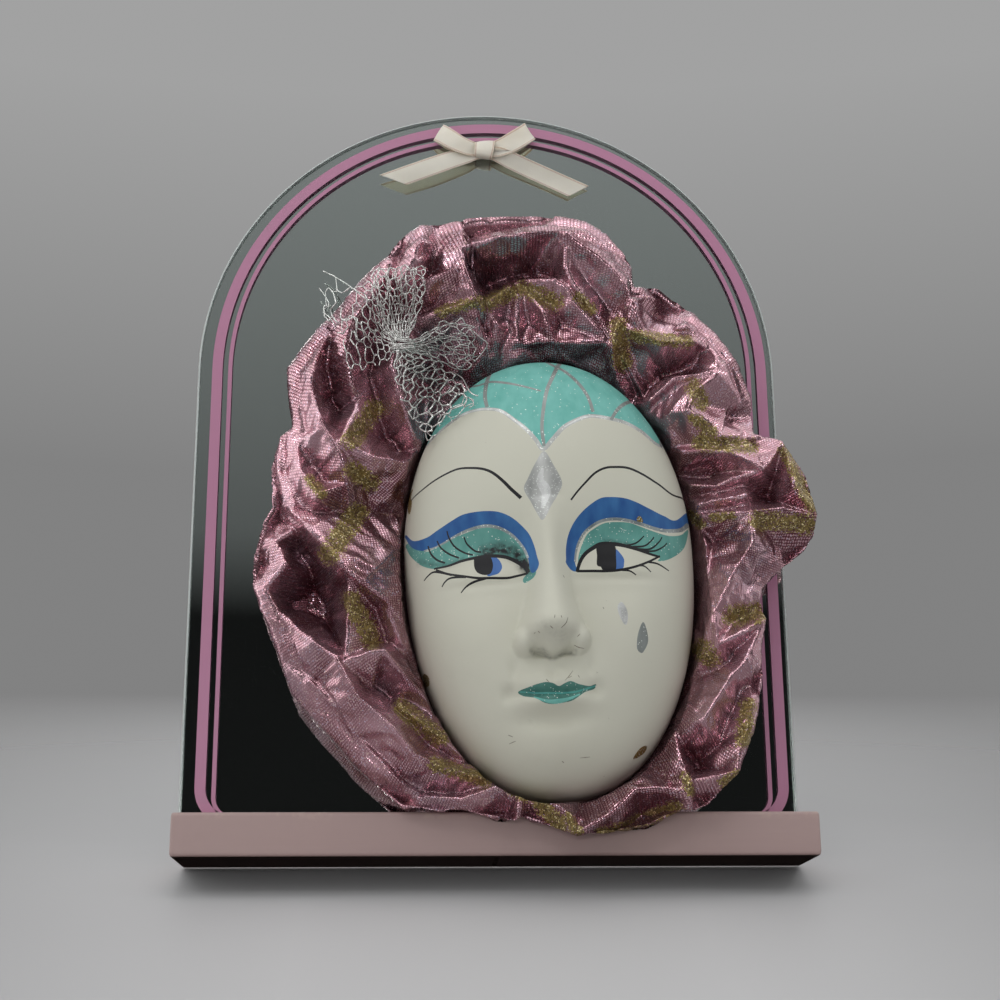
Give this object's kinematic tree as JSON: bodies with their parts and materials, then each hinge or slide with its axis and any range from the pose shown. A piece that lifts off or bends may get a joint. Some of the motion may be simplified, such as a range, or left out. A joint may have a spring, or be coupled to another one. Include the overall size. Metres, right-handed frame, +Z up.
{
  "type": "ceramic harlequin mask on an arched mirror stand",
  "caption": "Painted ceramic mask in a gathered lame collar, fixed to an arched mirror that stands in a grooved wooden board, with a satin bow and a net bow.",
  "frame": {"origin": "middle of the board's underside", "axes": "+Z up, +X to the viewer's right, the mask faces -Y"},
  "size_m": [0.273, 0.0982, 0.3508],
  "materials": {
    "painted_wood": "dusty pink satin paint",
    "mirror_glass": "silvered float glass with two printed pink lines",
    "ceramic": "matt off-white bisque with painted make-up",
    "lame_cloth": "rose metallic lame with gold glitter strokes",
    "satin_ribbon": "cream satin",
    "metal_net": "silver thread net"
  },
  "bodies": {
    "root": {"base_board": "painted_wood", "mirror_plate": "mirror_glass", "mask": "ceramic", "ruffle_collar": "lame_cloth", "satin_bow": "satin_ribbon", "net_bow": "metal_net"}
  },
  "joints": []
}
